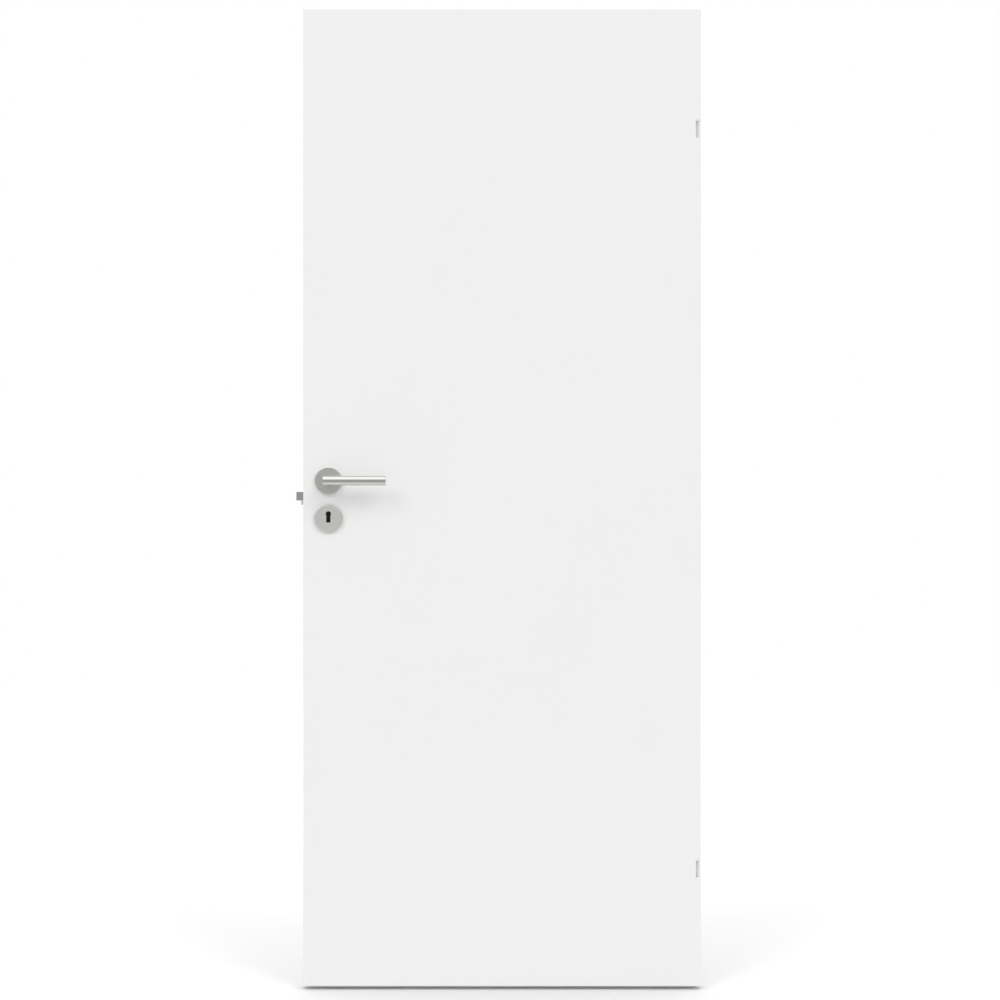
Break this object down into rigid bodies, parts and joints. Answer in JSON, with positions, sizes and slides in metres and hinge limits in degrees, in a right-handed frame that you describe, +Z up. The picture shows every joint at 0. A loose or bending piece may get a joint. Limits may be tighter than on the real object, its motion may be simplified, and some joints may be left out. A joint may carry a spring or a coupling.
{
  "type": "interior door leaf",
  "caption": "White flush interior door leaf with a mortise lock, lever handles, key plates and let-in hinge halves.",
  "frame": {"origin": "middle of the lower hinge plate's outer face, on the leaf's middle plane", "axes": "+Z up, -Y out of the front face, +X out of the hinge edge; the lock edge is at -X"},
  "size_m": [0.8455, 0.16, 2.04],
  "materials": {
    "door paint": "satin",
    "edge paint": "satin",
    "raw timber": "matte",
    "core board": "matte",
    "plated steel": "satin",
    "hinge coat": "satin",
    "screw steel": "satin",
    "latch steel": "satin",
    "lock steel": "matte",
    "latch plastic": "matte",
    "satin stainless steel": "brushed",
    "bearing plastic": "matte"
  },
  "bodies": {
    "leaf": {"front_skin": "door paint", "back_skin": "door paint", "lock_stile": "edge paint", "hinge_stile": "edge paint", "top_rail": "raw timber", "bottom_rail": "raw timber", "lock_block": "raw timber", "core": "core board", "lower_hinge_plate": "hinge coat", "upper_hinge_plate": "hinge coat", "lower_hinge_pin": "hinge coat", "upper_hinge_pin": "hinge coat", "lower_hinge_screws": "screw steel", "upper_hinge_screws": "screw steel", "forend_screws": "screw steel", "lock_forend": "plated steel", "lock_case": "lock steel", "lock_centre_ward": "lock steel", "dead_bolt": "plated steel", "front_rose_cap": "satin stainless steel", "back_rose_cap": "satin stainless steel", "front_rose_base": "bearing plastic", "back_rose_base": "bearing plastic", "front_key_plate_cap": "satin stainless steel", "back_key_plate_cap": "satin stainless steel", "front_key_plate_base": "bearing plastic", "back_key_plate_base": "bearing plastic"},
    "handle": {"front_lever": "satin stainless steel", "back_lever": "satin stainless steel", "spindle": "plated steel", "lever_screws": "screw steel", "follower": "lock steel"},
    "latch": {"latch_bolt": "latch steel", "latch_heel": "latch plastic"}
  },
  "joints": [
    {"name": "handle_turn", "type": "hinge", "parent": "leaf", "child": "handle", "pos_m": [-0.777, 0, 0.811], "axis": [0, 1, 0], "range_deg": [0, 40], "stiffness_Nm_per_rad": 0.6, "springref_deg": -20.05},
    {"name": "latch_slide", "type": "slide", "parent": "leaf", "child": "latch", "axis": [1, 0, 0], "range_m": [0, 0.0155]}
  ],
  "couplings": [
    {"joint": "latch_slide", "follows": "handle_turn", "m_per_rad": 0.02219}
  ]
}
